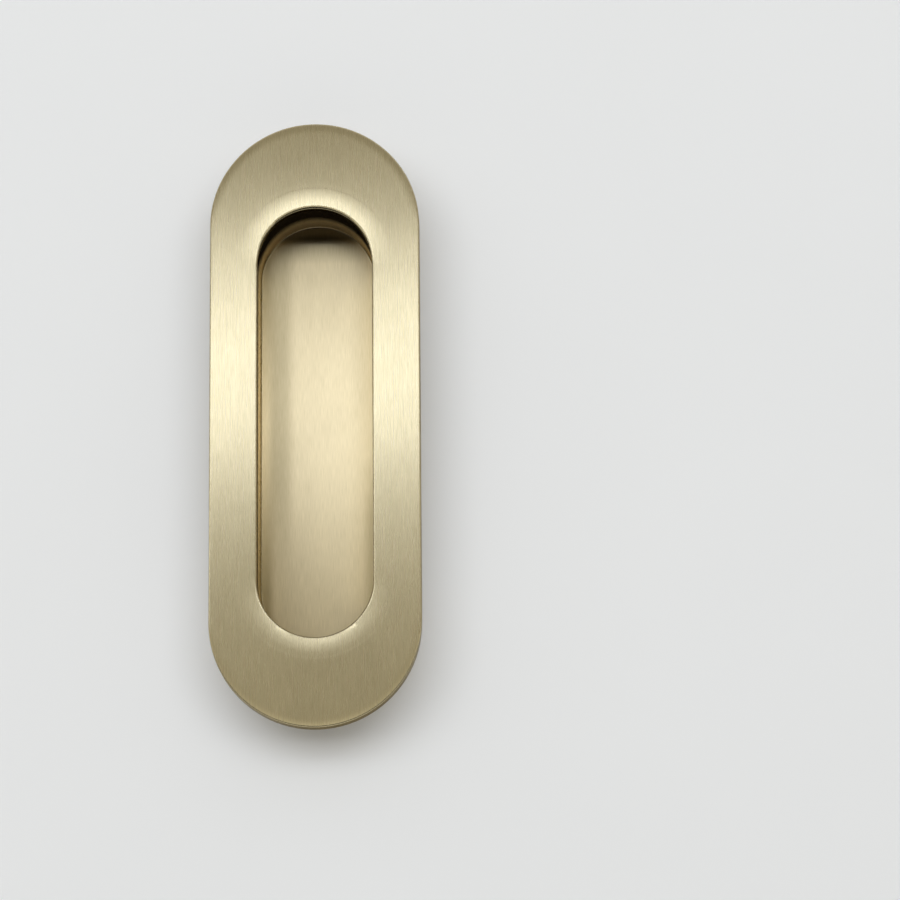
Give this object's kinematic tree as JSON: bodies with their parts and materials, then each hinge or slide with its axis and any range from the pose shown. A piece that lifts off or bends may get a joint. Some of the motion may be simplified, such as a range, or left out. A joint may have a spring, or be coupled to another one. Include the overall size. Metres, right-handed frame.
{
  "type": "pocket door handle",
  "caption": "Stadium-shaped flush pull with a deep finger cup, a separate face cover that dips to its lip, and screw holes hidden under its ends.",
  "frame": {"origin": "under the middle of the pull, at the back of the finger cup", "axes": "+Z out of the door, through the face; +Y along the pull; +X across it"},
  "size_m": [0.041, 0.12, 0.0143],
  "materials": {
    "brushed_brass": "brushed",
    "spring_steel": "brushed"
  },
  "bodies": {
    "root": {"face_cover": "brushed_brass", "recess_cup": "brushed_brass", "spring_clip_1": "spring_steel", "spring_clip_2": "spring_steel", "spring_clip_3": "spring_steel", "spring_clip_4": "spring_steel"}
  },
  "joints": []
}
